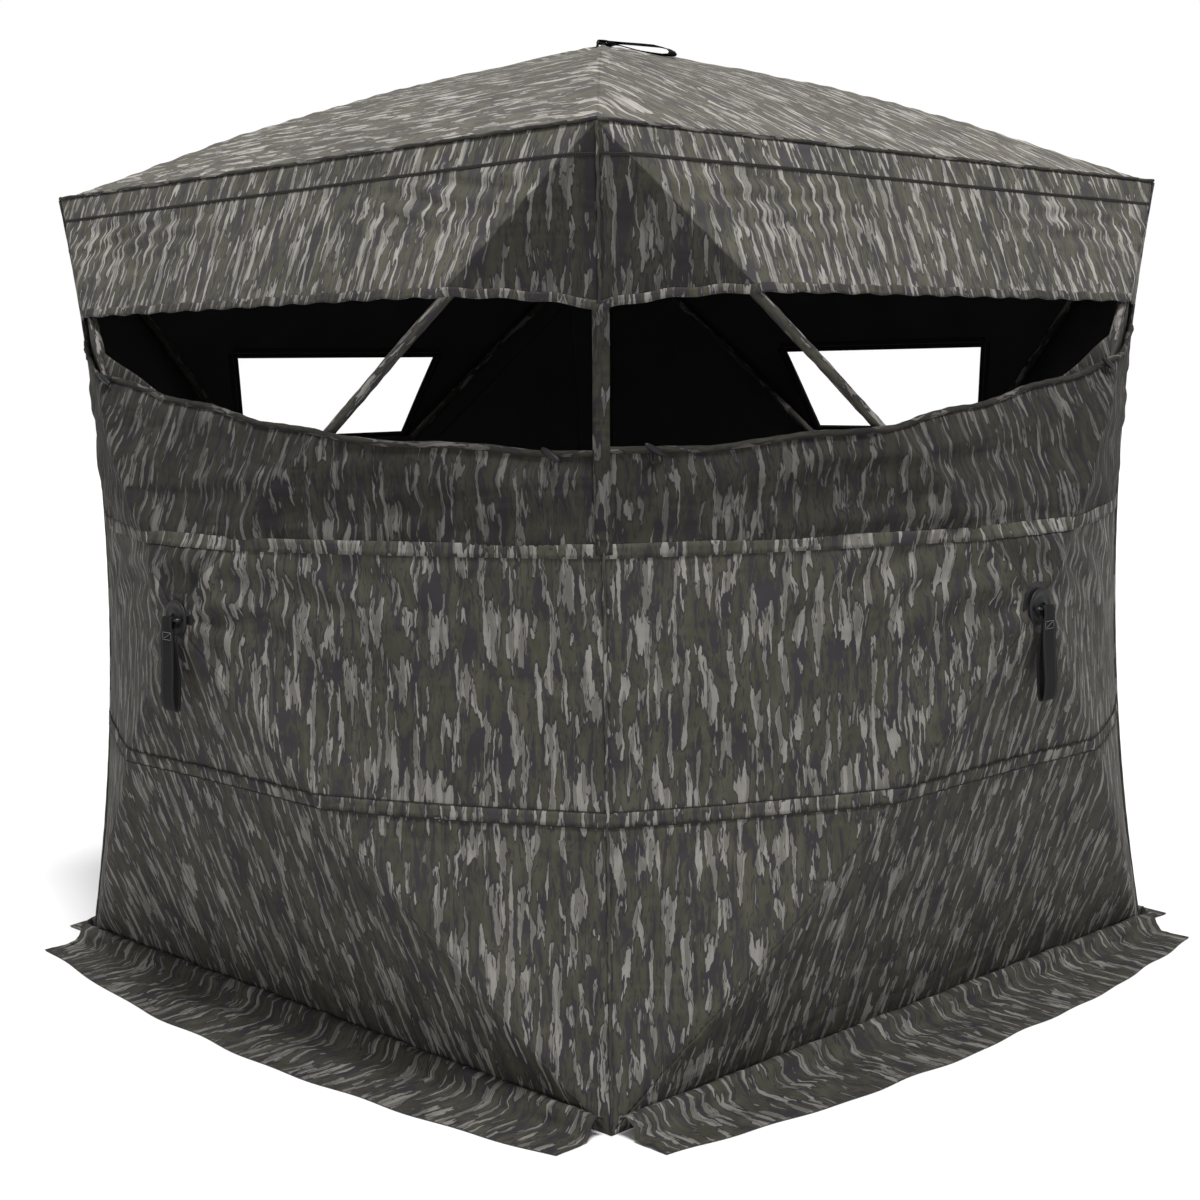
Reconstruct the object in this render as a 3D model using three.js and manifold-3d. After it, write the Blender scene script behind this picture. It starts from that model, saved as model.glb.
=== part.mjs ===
// Pop-up ground blind: a square cabin of camouflage cloth, held out by a sprung hub in the middle
// of the roof and of each wall. Millimetres, +Z up, origin on the ground under the roof hub.
// The near corner is at -X -Y. The two walls that meet there have the wide window.
import * as THREE from "three";
import Module from "manifold-3d";

const wasm = await Module();
wasm.setup();

// Cabin
const WIDTH = 1500; // corner to corner along a wall
const HEIGHT = 1480; // ground to eave at a corner
const WALL_POP = 240; // how far a wall hub stands out of the corner plane
const ROOF_POP = 262; // how far the roof hub stands above the eaves
const WALL_ARCH = 18; // outward arch of a wall rod over its straight line
const ROOF_ARCH = 27; // the same for a roof rod
const CORNER_BOW = 45; // how far the slack corner edge draws in at mid height
const CLOTH = 2; // cloth thickness
const GAP = 0.35; // clearance between sewn pieces

// Cloth around the wide window
const BAND_SEAM = 867; // height of the seam under the window screen
const VALANCE = 1244; // height of the valance's lower edge
const VALANCE_DIP = 28; // how far that edge drops at the near corner
const VALANCE_DIP_RUN = 110; // length over which it drops
const SCREEN_NEAR = 1012; // height of the lowered screen's top edge at the near corner
const SCREEN_FAR = 1205; // the same at the far corner
const SCREEN_RISE = 1.6; // exponent of its rise along the wall

// Small rear windows, their covers and the door
const REAR_TOP = 1175;
const REAR_BOTTOM = 995;
const REAR_HALF_TOP = 280;
const REAR_HALF_BOTTOM = 226;
const COVER_INSET = 24; // hinge line of a cover inside the cloth
const COVER_LAP = 8; // how far a cover is larger than its window
const DOOR_SIDE = 640; // hinge side of the door from the wall's middle
const DOOR_TIP = 170; // other end of the door
const DOOR_MARGIN = 70; // cloth left between the door and the rods
const DOOR_GAP = 1.5;

// Ground skirts
const SKIRT = 185; // width at mid wall
const SKIRT_END = 110; // width at the corners
const SKIRT_THICK = 3;
const SKIRT_OFF = 3; // clearance from the leaning wall

// Hubs, rods, straps and pockets
const HUB_R = 42;
const HUB_THICK = 26;
const HUB_WEB = 6; // solid plate over the rod slots
const PIVOT_DEPTH = 17; // rod pivots below the hub's face
const HUB_FLAT = 45; // half side of the flat cloth patch at a hub
const SLOT = 10.6; // slot for a rod end
const PIVOT_R = 30; // rod pivot from the hub axis
const PIN_R = 2;
const POST_R = 9; // post through the cloth
const POST_HOLE_R = 9.6;
const CAP_R = 31;
const CAP_THICK = 4;
const BAR_R = 3;
const BAR_UP = 11; // strap bar above the cap
const BAR_HALF = 24;
const LEG = 5;
const ROD_R = 4.75;
const PIN_HOLE_R = 2.4;
const ROD_CLEAR = 78; // rod tip to corner
const STRAP_WIDTH = 38;
const STRAP_LENGTH = 152;
const STRAP_THICK = 4;
const EYE_R = 3.5;
const ROOF_STRAP_SLOPE = 12; // degrees below level, lying on the roof
const ROOF_STRAP_TURN = -160; // degrees, so that it lies beside a rod
const POCKET = 20;
const POCKET_INSET = 6;
const CORNER_STRAP_WIDTH = 25;
const CORNER_STRAP_THICK = 1.6;
const CORNER_STRAP_BOTTOM = 872;
const CORNER_STRAP_TOP = 1222;

const HALF = WIDTH / 2;
const HUB_Z = HEIGHT / 2;
const RING_N = 7;
const SIDE_N = 8;
const CAP_FACE = CLOTH + GAP;
const BAR_OUT = CAP_FACE + CAP_THICK + BAR_UP;
const PIVOT_IN = GAP + PIVOT_DEPTH;

const blind = new THREE.Group();
blind.name = "pop_up_ground_blind";

const PAINT = {
  roof: [0x6b675e, 0.9, 0],
  wall: [0x5b574e, 0.92, 0],
  screen: [0x45423c, 0.95, 0],
  skirt: [0x605c53, 0.92, 0],
  webbing: [0x1a1a1a, 0.85, 0],
  plastic: [0x161616, 0.55, 0],
  steel: [0x2a2a2c, 0.4, 0.8],
  rod: [0x55524a, 0.6, 0],
};

function add(name, geometry, paint) {
  const [color, roughness, metalness] = PAINT[paint];
  geometry.computeVertexNormals();
  const mesh = new THREE.Mesh(geometry, new THREE.MeshStandardMaterial({ color, roughness, metalness }));
  mesh.name = name;
  blind.add(mesh);
}

function mergePoints(geometry) {
  const position = geometry.getAttribute("position");
  const index = geometry.index ? geometry.index.array : null;
  const count = index ? index.length : position.count;
  const seen = new Map();
  const points = [];
  const triangles = [];
  for (let i = 0; i < count; i += 1) {
    const v = index ? index[i] : i;
    const p = [position.getX(v), position.getY(v), position.getZ(v)];
    const key = p.map((c) => Math.round(c * 1e4)).join(",");
    if (!seen.has(key)) {
      seen.set(key, points.length / 3);
      points.push(...p);
    }
    triangles.push(seen.get(key));
  }
  const kept = [];
  for (let i = 0; i < triangles.length; i += 3) {
    const [a, b, c] = triangles.slice(i, i + 3);
    if (a !== b && b !== c && c !== a) {
      kept.push(a, b, c);
    }
  }
  return { points, kept };
}

function solid(geometry) {
  const { points, kept } = mergePoints(geometry);
  const mesh = new wasm.Mesh({
    numProp: 3,
    vertProperties: new Float32Array(points),
    triVerts: new Uint32Array(kept),
  });
  return new wasm.Manifold(mesh);
}

function geometryOf(body) {
  const mesh = body.getMesh();
  const geometry = new THREE.BufferGeometry();
  geometry.setAttribute("position", new THREE.BufferAttribute(new Float32Array(mesh.vertProperties), 3));
  geometry.setIndex(new THREE.BufferAttribute(new Uint32Array(mesh.triVerts), 1));
  return geometry;
}

// A panel's frame: u along the panel, n out of it, w up it.
function frameOf(u, n, w, origin) {
  const matrix = new THREE.Matrix4().makeBasis(
    new THREE.Vector3(...u), new THREE.Vector3(...n), new THREE.Vector3(...w));
  matrix.setPosition(...origin);
  return matrix;
}

// Each wall: near is the end of u at the near corner, for the two walls with the wide window.
const WALLS = [
  { name: "left", n: [-1, 0, 0], u: [0, 1, 0], near: -1 },
  { name: "front", n: [0, -1, 0], u: [-1, 0, 0], near: 1 },
  { name: "right", n: [1, 0, 0], u: [0, -1, 0], near: 0 },
  { name: "back", n: [0, 1, 0], u: [1, 0, 0], near: 0 },
];
for (const wall of WALLS) {
  wall.matrix = frameOf(wall.u, wall.n, [0, 0, 1], [0, 0, HUB_Z]);
  wall.pop = WALL_POP;
  wall.arch = WALL_ARCH;
  wall.base = HALF;
  wall.halfW = HUB_Z;
  wall.bow = CORNER_BOW;
}
const ROOF = {
  name: "roof",
  matrix: frameOf([1, 0, 0], [0, 0, 1], [0, -1, 0], [0, 0, 0]),
  pop: ROOF_POP,
  arch: ROOF_ARCH,
  base: HEIGHT,
  halfW: HALF,
  bow: 0,
};
const PANELS = [ROOF, ...WALLS];

// How far a panel stands out of its corner plane: flat at the hub, arched down to the corners.
function popOut(panel, reach) {
  const t = Math.min(1, (1 - reach) / (1 - HUB_FLAT / HALF));
  return panel.pop * t + 4 * panel.arch * t * (1 - t);
}

// A point of the cloth's inner face, from square coordinates a (along u) and b (along w).
function clothPoint(panel, a, b) {
  const reach = Math.max(Math.abs(a), Math.abs(b));
  const along = reach > 0 ? b / reach : 0;
  const isSide = Math.abs(a) >= Math.abs(b);
  const bow = isSide ? panel.bow * (1 - along * along) * reach * reach : 0;
  return [
    a * HALF - Math.sign(a) * bow,
    panel.base + popOut(panel, reach) - bow,
    b * panel.halfW,
  ];
}

// The whole panel as one thin shell in its own frame.
function panelShell(panel) {
  const edge = 1 - GAP / HALF;
  const flat = HUB_FLAT / HALF;
  const points = [];
  const triangles = [];
  const perRing = 4 * SIDE_N;
  for (let ring = 0; ring <= RING_N; ring += 1) {
    const reach = edge + (flat - edge) * (ring / RING_N);
    for (let side = 0; side < 4; side += 1) {
      for (let step = 0; step < SIDE_N; step += 1) {
        const s = -1 + (2 * step) / SIDE_N;
        const square = [[s, -1], [1, s], [-s, 1], [-1, -s]][side];
        points.push(clothPoint(panel, square[0] * reach, square[1] * reach));
      }
    }
  }
  points.push([0, panel.base + panel.pop, 0]);
  const layer = points.length;
  for (let i = 0; i < layer; i += 1) {
    points.push([points[i][0], points[i][1] + CLOTH, points[i][2]]);
  }
  const face = (a, b, c) => {
    triangles.push(a, b, c);
    triangles.push(layer + a, layer + c, layer + b);
  };
  for (let ring = 0; ring < RING_N; ring += 1) {
    for (let i = 0; i < perRing; i += 1) {
      const j = (i + 1) % perRing;
      const a = ring * perRing;
      const b = a + perRing;
      face(a + i, a + j, b + j);
      face(a + i, b + j, b + i);
    }
  }
  for (let i = 0; i < perRing; i += 1) {
    const j = (i + 1) % perRing;
    const last = RING_N * perRing;
    face(last + i, last + j, layer - 1);
    triangles.push(i, layer + i, layer + j);
    triangles.push(i, layer + j, j);
  }
  const geometry = new THREE.BufferGeometry();
  geometry.setAttribute("position", new THREE.Float32BufferAttribute(points.flat(), 3));
  geometry.setIndex(triangles);
  return solid(geometry);
}

// A prism through a panel, from an outline in u and w.
function prism(outline, low, high) {
  const shape = new THREE.Shape(outline.map(([x, y]) => new THREE.Vector2(x, y)));
  const geometry = new THREE.ExtrudeGeometry(shape, { depth: high - low, bevelEnabled: false });
  geometry.rotateX(Math.PI / 2);
  geometry.translate(0, high, 0);
  return solid(geometry);
}

function cylinder(radius, low, high, segments = 24) {
  const profile = [[0, low], [radius, low], [radius, high], [0, high]];
  const points = profile.map(([x, y]) => new THREE.Vector2(x, y));
  return solid(new THREE.LatheGeometry(points, segments));
}

function box(low, high) {
  const size = high.map((value, i) => value - low[i]);
  const geometry = new THREE.BoxGeometry(...size);
  geometry.translate(...low.map((value, i) => value + size[i] / 2));
  return solid(geometry);
}

function place(name, body, matrix, paint) {
  const geometry = geometryOf(body);
  geometry.applyMatrix4(matrix);
  add(name, geometry, paint);
}

// Edges of the wide window, by distance from the near corner, as heights over the hub.
function valanceEdge(distance) {
  return VALANCE - VALANCE_DIP * Math.exp(-distance / VALANCE_DIP_RUN) - HUB_Z;
}

function screenEdge(distance) {
  return SCREEN_NEAR + (SCREEN_FAR - SCREEN_NEAR) * (distance / WIDTH) ** SCREEN_RISE - HUB_Z;
}

function edgeLine(wall, height) {
  const line = [];
  const steps = 16;
  for (let i = 0; i <= steps; i += 1) {
    const distance = (WIDTH * i) / steps;
    line.push([wall.near * (HALF + 5) * (1 - (2 * i) / steps), height(distance)]);
  }
  return wall.near < 0 ? line : line.reverse();
}

function frontPieces(wall, shell) {
  const far = HALF + 20;
  const seam = BAND_SEAM - HUB_Z;
  const low = wall.base - 100;
  const high = wall.base + wall.pop + 100;
  const valanceLine = edgeLine(wall, valanceEdge);
  const screenLine = edgeLine(wall, screenEdge);
  const upper = prism([...valanceLine, [far, HUB_Z + 50], [-far, HUB_Z + 50]], low, high);
  const lower = prism([[-far, -HUB_Z - 50], [far, -HUB_Z - 50], [far, seam - GAP], [-far, seam - GAP]], low, high);
  const screen = prism([[-far, seam], [far, seam], ...[...screenLine].reverse()], low, high);
  place(`${wall.name}_wall_valance`, shell.intersect(upper), wall.matrix, "wall");
  place(`${wall.name}_wall`, shell.intersect(lower), wall.matrix, "wall");
  place(`${wall.name}_window_screen`, shell.intersect(screen), wall.matrix, "screen");
}

function rearWindow(grow) {
  return [
    [-REAR_HALF_BOTTOM - grow, REAR_BOTTOM - HUB_Z - grow],
    [REAR_HALF_BOTTOM + grow, REAR_BOTTOM - HUB_Z - grow],
    [REAR_HALF_TOP + grow, REAR_TOP - HUB_Z + grow],
    [-REAR_HALF_TOP - grow, REAR_TOP - HUB_Z + grow],
  ];
}

// The door fills the side facet between the rods, next to the corner.
function doorOutline(grow) {
  const side = DOOR_SIDE + grow;
  const tip = DOOR_TIP - grow;
  const rise = (u) => Math.max(12, (u * HUB_Z) / HALF - DOOR_MARGIN) + grow;
  return [[tip, -rise(tip)], [side, -rise(side)], [side, rise(side)], [tip, rise(tip)]];
}

// A window cover hangs inside from the window's lower edge.
function coverBody(wall) {
  const hinge = REAR_BOTTOM - HUB_Z - COVER_LAP;
  const hingeReach = hinge / HUB_Z;
  const depth = wall.base + popOut(wall, hingeReach) - COVER_INSET;
  const run = REAR_TOP - REAR_BOTTOM + 2 * COVER_LAP;
  const narrow = REAR_HALF_BOTTOM + COVER_LAP;
  const wide = REAR_HALF_TOP + COVER_LAP;
  const outline = [[-wide, hinge - run], [wide, hinge - run], [narrow, hinge], [-narrow, hinge]];
  return prism(outline, depth - CLOTH, depth);
}

for (const wall of WALLS) {
  const low = wall.base - 100;
  const high = wall.base + wall.pop + 100;
  const hole = cylinder(POST_HOLE_R, low, high);
  const shell = panelShell(wall).subtract(hole);
  if (wall.near !== 0) {
    frontPieces(wall, shell);
    continue;
  }
  let body = shell.subtract(prism(rearWindow(0), low, high));
  if (wall.name === "back") {
    body = body.subtract(prism(doorOutline(DOOR_GAP), low, high));
    place("door", shell.intersect(prism(doorOutline(0), low, high)), wall.matrix, "wall");
  }
  place(`${wall.name}_wall`, body, wall.matrix, "wall");
  place(`${wall.name}_window_cover`, coverBody(wall), wall.matrix, "screen");
}
place("roof", panelShell(ROOF).subtract(cylinder(POST_HOLE_R, HEIGHT, HEIGHT + 400)), ROOF.matrix, "roof");

// Ground skirts, one flap along each wall, lying outward
for (const wall of WALLS) {
  const outline = [];
  const steps = 12;
  for (let i = 0; i <= steps; i += 1) {
    const s = -1 + (2 * i) / steps;
    const width = SKIRT_END + (SKIRT - SKIRT_END) * (1 - s * s);
    outline.push([s * (HALF - 6), HALF + width]);
  }
  const inner = HALF + CLOTH + SKIRT_OFF;
  outline.push([HALF - 6, inner], [-HALF + 6, inner]);
  const shape = new THREE.Shape(outline.map(([x, y]) => new THREE.Vector2(x, y)));
  const geometry = new THREE.ExtrudeGeometry(shape, { depth: SKIRT_THICK, bevelEnabled: false });
  geometry.applyMatrix4(frameOf(wall.u, wall.n, [0, 0, 1], [0, 0, 0]));
  add(`${wall.name}_skirt`, geometry, "skirt");
}

// Hub: a moulded disc inside the cloth with four slots, a pin across each, and a post outward
function hubBody(panel) {
  const face = panel.base + panel.pop - GAP;
  const post = cylinder(POST_R, face - 1, face + CAP_FACE, 20);
  let body = cylinder(HUB_R, face - HUB_THICK, face, 32).add(post);
  for (const angle of rodAngles(panel)) {
    const turn = [0, -angle, 0];
    const slot = box([15, face - HUB_THICK - 1, -SLOT / 2], [HUB_R + 5, face - HUB_WEB, SLOT / 2]);
    body = body.subtract(slot.rotate(turn));
  }
  for (const angle of rodAngles(panel)) {
    const pin = cylinder(PIN_R, -SLOT / 2 - 2, SLOT / 2 + 2, 12).rotate([90, 0, 0]);
    const seat = panel.base + panel.pop - PIVOT_IN;
    body = body.add(pin.translate([PIVOT_R, seat, 0]).rotate([0, -angle, 0]));
  }
  return body;
}

// Directions of the four rods, in degrees about the hub axis from u towards w
function rodAngles(panel) {
  const slope = (Math.atan2(panel.halfW, HALF) * 180) / Math.PI;
  return [slope, 180 - slope, 180 + slope, -slope];
}

// Cap outside the cloth, with two legs and a bar for the pull strap
function capBody(panel) {
  const face = panel.base + panel.pop + CAP_FACE;
  const bar = panel.base + panel.pop + BAR_OUT;
  let body = cylinder(CAP_R, face, face + CAP_THICK, 32);
  for (const side of [-1, 1]) {
    const inner = side * (BAR_HALF - LEG);
    const outer = side * BAR_HALF;
    const low = [Math.min(inner, outer), face + CAP_THICK - 1, -LEG];
    body = body.add(box(low, [Math.max(inner, outer), bar + BAR_R + 1.5, LEG]));
  }
  const rod = cylinder(BAR_R, -BAR_HALF + 1, BAR_HALF - 1, 16).rotate([0, 0, 90]);
  return body.add(rod.translate([0, bar, 0]));
}

// Pull strap: an eye round the bar and a doubled webbing tail, narrowed at the eye
function strapBody(panel) {
  const bar = panel.base + panel.pop + BAR_OUT;
  const eyeOuter = EYE_R + 2.4;
  const neck = BAR_HALF - LEG - 1;
  const eye = cylinder(eyeOuter, -neck, neck, 20).rotate([0, 0, 90]);
  const tail = box([-neck, -STRAP_THICK / 2, -30], [neck, STRAP_THICK / 2, 0]);
  const half = STRAP_WIDTH / 2;
  const low = [-half, -STRAP_THICK / 2, -STRAP_LENGTH];
  const wide = box(low, [half, STRAP_THICK / 2, -16]);
  const hole = cylinder(EYE_R, -neck - 1, neck + 1, 20).rotate([0, 0, 90]);
  const body = eye.add(tail).add(wide).subtract(hole);
  return body.translate([0, bar, 0]);
}

// Rod: pivots on a hub pin and reaches towards a corner pocket, slightly arched outward
function rodGeometry(panel, angle) {
  const corner = Math.hypot(HALF, panel.halfW);
  const reach = corner - PIVOT_R;
  const steps = 9;
  const end = 1 - ROD_CLEAR / reach;
  const points = [];
  for (let i = 0; i <= steps; i += 1) {
    const t = (end * i) / steps;
    const drop = panel.pop * (1 - t) + 4 * panel.arch * t * (1 - t);
    points.push(new THREE.Vector3(PIVOT_R + reach * t, panel.base + drop - PIVOT_IN, 0));
  }
  const start = points[0].clone().sub(points[1]).normalize().multiplyScalar(7);
  points.unshift(points[0].clone().add(start));
  const shape = new THREE.Shape();
  const sides = 10;
  for (let i = 0; i < sides; i += 1) {
    const a = (2 * Math.PI * (i + 0.5)) / sides;
    const radius = ROD_R;
    const method = i === 0 ? "moveTo" : "lineTo";
    shape[method](radius * Math.cos(a), radius * Math.sin(a));
  }
  const path = new THREE.CatmullRomCurve3(points, false, "centripetal");
  const geometry = new THREE.ExtrudeGeometry(shape, { steps: 12, extrudePath: path, bevelEnabled: false });
  const seat = panel.base + panel.pop - PIVOT_IN;
  const hole = cylinder(PIN_HOLE_R, -ROD_R - 1, ROD_R + 1, 12).rotate([90, 0, 0]);
  const body = solid(geometry).subtract(hole.translate([PIVOT_R, seat, 0]));
  return body.rotate([0, -angle, 0]);
}

for (const panel of PANELS) {
  place(`${panel.name}_hub`, hubBody(panel), panel.matrix, "plastic");
  const turn = [0, panel === ROOF ? ROOF_STRAP_TURN : 0, 0];
  place(`${panel.name}_hub_cap`, capBody(panel).rotate(turn), panel.matrix, "steel");
  rodAngles(panel).forEach((angle, i) => {
    place(`${panel.name}_rod_${i + 1}`, rodGeometry(panel, angle), panel.matrix, "rod");
  });
  let strap = strapBody(panel);
  if (panel === ROOF) {
    const bar = panel.base + panel.pop + BAR_OUT;
    strap = strap.translate([0, -bar, 0]).rotate([-ROOF_STRAP_SLOPE, 0, 0]).translate([0, bar, 0]);
    strap = strap.rotate(turn);
  }
  place(`${panel.name}_pull_strap`, strap, panel.matrix, "webbing");
}

// Corner pockets that the rod tips seat in
for (const [ix, x] of [["left", -1], ["right", 1]]) {
  for (const [iy, y] of [["front", -1], ["back", 1]]) {
    for (const [iz, z] of [["bottom", 0], ["top", 1]]) {
      const inset = POCKET_INSET + POCKET / 2;
      const geometry = new THREE.BoxGeometry(POCKET, POCKET, POCKET);
      geometry.translate(x * (HALF - inset), y * (HALF - inset), z === 0 ? inset : HEIGHT - inset);
      add(`${iz}_pocket_${iy}_${ix}`, geometry, "webbing");
    }
  }
}

// Webbing strap down the near corner, across the window
{
  const steps = 8;
  const out = CLOTH * Math.SQRT2 + 0.8;
  const half = CORNER_STRAP_WIDTH / 2;
  const points = [];
  for (let i = 0; i <= steps; i += 1) {
    const z = CORNER_STRAP_BOTTOM + ((CORNER_STRAP_TOP - CORNER_STRAP_BOTTOM) * i) / steps;
    const v = (z - HUB_Z) / HUB_Z;
    const edge = (HALF - CORNER_BOW * (1 - v * v)) * Math.SQRT2;
    points.push([edge + out, z]);
  }
  const outer = points.map(([r, z]) => [r + CORNER_STRAP_THICK, z]).reverse();
  const shape = new THREE.Shape([...points, ...outer].map(([x, y]) => new THREE.Vector2(x, y)));
  const geometry = new THREE.ExtrudeGeometry(shape, { depth: CORNER_STRAP_WIDTH, bevelEnabled: false });
  geometry.translate(0, 0, -half);
  geometry.rotateX(Math.PI / 2);
  geometry.rotateZ((-3 * Math.PI) / 4);
  add("corner_strap", geometry, "webbing");
}

export default blind;
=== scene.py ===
import math

import bmesh
import bpy
import numpy as np
from mathutils import Matrix, Vector


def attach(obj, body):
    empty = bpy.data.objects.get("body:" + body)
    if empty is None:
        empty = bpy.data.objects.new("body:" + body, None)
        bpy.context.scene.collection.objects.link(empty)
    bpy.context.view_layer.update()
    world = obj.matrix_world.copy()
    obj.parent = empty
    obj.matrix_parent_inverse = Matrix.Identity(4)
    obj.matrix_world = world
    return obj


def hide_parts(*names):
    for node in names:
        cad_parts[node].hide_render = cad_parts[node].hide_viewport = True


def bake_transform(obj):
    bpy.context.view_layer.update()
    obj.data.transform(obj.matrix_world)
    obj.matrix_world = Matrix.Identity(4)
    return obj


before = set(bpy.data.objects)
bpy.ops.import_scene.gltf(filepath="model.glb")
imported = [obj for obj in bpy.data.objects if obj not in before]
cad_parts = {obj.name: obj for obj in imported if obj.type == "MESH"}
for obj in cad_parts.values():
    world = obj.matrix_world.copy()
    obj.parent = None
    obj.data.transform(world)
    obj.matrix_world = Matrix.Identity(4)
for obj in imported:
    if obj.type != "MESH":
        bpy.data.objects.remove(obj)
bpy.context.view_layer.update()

# ---- sizes, metres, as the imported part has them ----
HALF, H, HZ = 0.75, 1.48, 0.74
BOW = 0.045
FLAT = 0.045 / HALF
CORNER_SOFT = 0.020
SEAM, VALANCE, DIP, DIP_RUN = 0.867, 1.244, 0.028, 0.110
SCREEN_NEAR, SCREEN_FAR, SCREEN_RISE = 1.012, 1.205, 1.6
REAR_TOP, REAR_BOTTOM, REAR_WIDE, REAR_NARROW = 1.175, 0.995, 0.280, 0.226
TAPE_Z = 0.466
PIN_IN = 0.01735
EDGE = 1 - 0.0004 / HALF
STEP = 0.0085

WALLS = {
    "left": dict(n=(-1, 0, 0), u=(0, 1, 0), near=-1, seed=1.3),
    "front": dict(n=(0, -1, 0), u=(-1, 0, 0), near=1, seed=4.1),
    "right": dict(n=(1, 0, 0), u=(0, -1, 0), near=0, seed=7.7),
    "back": dict(n=(0, 1, 0), u=(1, 0, 0), near=0, seed=9.2),
}
PANELS = {"roof": dict(n=(0, 0, 1), u=(1, 0, 0), w=(0, -1, 0), o=(0, 0, 0), base=H, pop=0.262,
                       arch=0.027, hw=HALF, bow=0.0, seed=2.2, near=0)}
for key, p in WALLS.items():
    p.update(w=(0, 0, 1), o=(0, 0, HZ), base=HALF, pop=0.240, arch=0.018, hw=HZ, bow=BOW)
    PANELS[key] = p
for key, p in PANELS.items():
    p["name"] = key
    for axis in "unwo":
        p[axis] = np.array(p[axis], float)


# ---- smooth noise without any library: fixed random waves ----
def waves(x, y, seed, count=14, low=1.0, high=6.0, stretch=(1.0, 1.0)):
    rng = np.random.default_rng(int(seed * 1000))
    total = np.zeros_like(x)
    for _ in range(count):
        f = rng.uniform(low, high)
        t = rng.uniform(0, 2 * np.pi)
        ph = rng.uniform(0, 2 * np.pi)
        along = x * np.cos(t) / stretch[0] + y * np.sin(t) / stretch[1]
        total += np.sin(2 * np.pi * f * along + ph) / count ** 0.5
    return total


def smooth_max(a, b, soft=CORNER_SOFT):
    a, b = np.abs(a), np.abs(b)
    return 0.5 * (a + b + np.sqrt((a - b) ** 2 + soft ** 2))


def pop_out(p, reach):
    t = np.clip((1 - reach) / (1 - FLAT), 0, 1)
    return p["pop"] * t + 4 * p["arch"] * t * (1 - t)


def wrinkles(p, a, b):
    """How far the cloth stands off its smooth shape: slack, pull lines and seam puckers."""
    u, w = a * HALF, b * p["hw"]
    r = np.hypot(u, w)
    th = np.arctan2(w, u)
    s = p["seed"]
    edge = np.clip((1 - smooth_max(a, b)) * 9, 0, 1)
    out = 0.0016 * waves(u, w, s, 12, 0.8, 3.2)
    out = out + 0.0007 * waves(u, w, s + 0.4, 14, 4, 11, (1.0, 1.5))
    hub = np.exp(-((r - 0.05) / 0.11) ** 2)
    out = out + 0.0042 * hub * np.sin(11 * th + 2.0 * np.sin(2 * th + s)) * np.clip((r - 0.03) / 0.04, 0, 1)
    for ca in (-1, 1):
        for cb in (-1, 1):
            du, dw = u - ca * HALF, w - cb * p["hw"]
            d = np.hypot(du, dw)
            ang = np.arctan2(dw * -cb, du * -ca)
            out = out + 0.0030 * np.exp(-((d - 0.10) / 0.15) ** 2) * np.sin(9 * ang + s * 3 + ca + 2 * cb)
    crease = np.abs(np.abs(a) - np.abs(b))
    along = np.clip(r / 1.05, 0, 1)
    pucker = np.exp(-(crease / 0.05) ** 2) * np.sin(2 * np.pi * r / 0.047 + 2.5 * np.sin(9 * r + s))
    out = out + 0.0011 * pucker * (0.4 + along) * np.clip((r - 0.1) * 8, 0, 1)
    facet = np.clip(crease * 4, 0, 1)
    sag = 0.010 if p["name"] != "roof" else 0.004
    out = out - sag * facet * np.clip(1 - smooth_max(a, b), 0, 1) ** 0.7 * edge
    if p["name"] != "roof":
        z = w + HZ
        near_tape = np.exp(-((z - TAPE_Z) / 0.020) ** 2)
        out = out + 0.0017 * near_tape * np.sin(2 * np.pi * u / 0.026 + 2 * np.sin(u * 31 + s))
        near_seam = np.exp(-((z - SEAM) / 0.024) ** 2)
        out = out + 0.0014 * near_seam * np.sin(2 * np.pi * u / 0.031 + 2 * np.sin(u * 23 + s))
        eave = np.exp(-((z - (H - 0.047)) / 0.018) ** 2)
        out = out + 0.0010 * eave * np.sin(2 * np.pi * u / 0.024 + 2 * np.sin(u * 37 + s))
        arc = np.hypot(u * 0.62, (w + 0.10) * 1.35)
        side = np.exp(-((np.abs(u) - 0.30) / 0.26) ** 2) * np.exp(-((w - 0.055) / 0.10) ** 2)
        out = out + 0.0046 * side * np.sin(2 * np.pi * arc / 0.085 + 1.3 * np.sin(9 * u + s))
        over = np.exp(-((r - 0.105) / 0.024) ** 2) * np.clip((w + 0.01) / 0.05, 0, 1)
        out = out + 0.0095 * over
        high = np.exp(-((z - 1.39) / 0.06) ** 2) * np.exp(-((np.abs(u) - 0.42) / 0.22) ** 2)
        under_eave = 2 * np.pi * (z + 0.10 * np.abs(u)) / 0.036
        out = out + 0.0044 * high * np.sin(under_eave + 2 * np.sin(11 * u + s))
        foot = np.clip(1 - z / 0.30, 0, 1) ** 1.5
        out = out + 0.0036 * foot * waves(u, w, s + 2, 10, 2.5, 7, (1.0, 3.0))
    return out * np.clip(edge + 0.12, 0, 1) * np.clip(r / 0.045, 0, 1)


def cloth(p, a, b, lift=0.0, extra=None):
    """World points of panel p at square coordinates a, b."""
    reach = np.minimum(smooth_max(a, b), 1.0)
    bow = p["bow"] * np.clip(a * a - b * b, 0, 1)
    n = p["base"] + pop_out(p, reach) - bow + wrinkles(p, a, b) + lift
    if extra is not None:
        n = n + extra
    uu = a * HALF - np.sign(a) * bow
    ww = b * p["hw"]
    return p["o"] + uu[..., None] * p["u"] + n[..., None] * p["n"] + ww[..., None] * p["w"]


# ---- mesh helpers ----
coll = bpy.context.scene.collection


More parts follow.
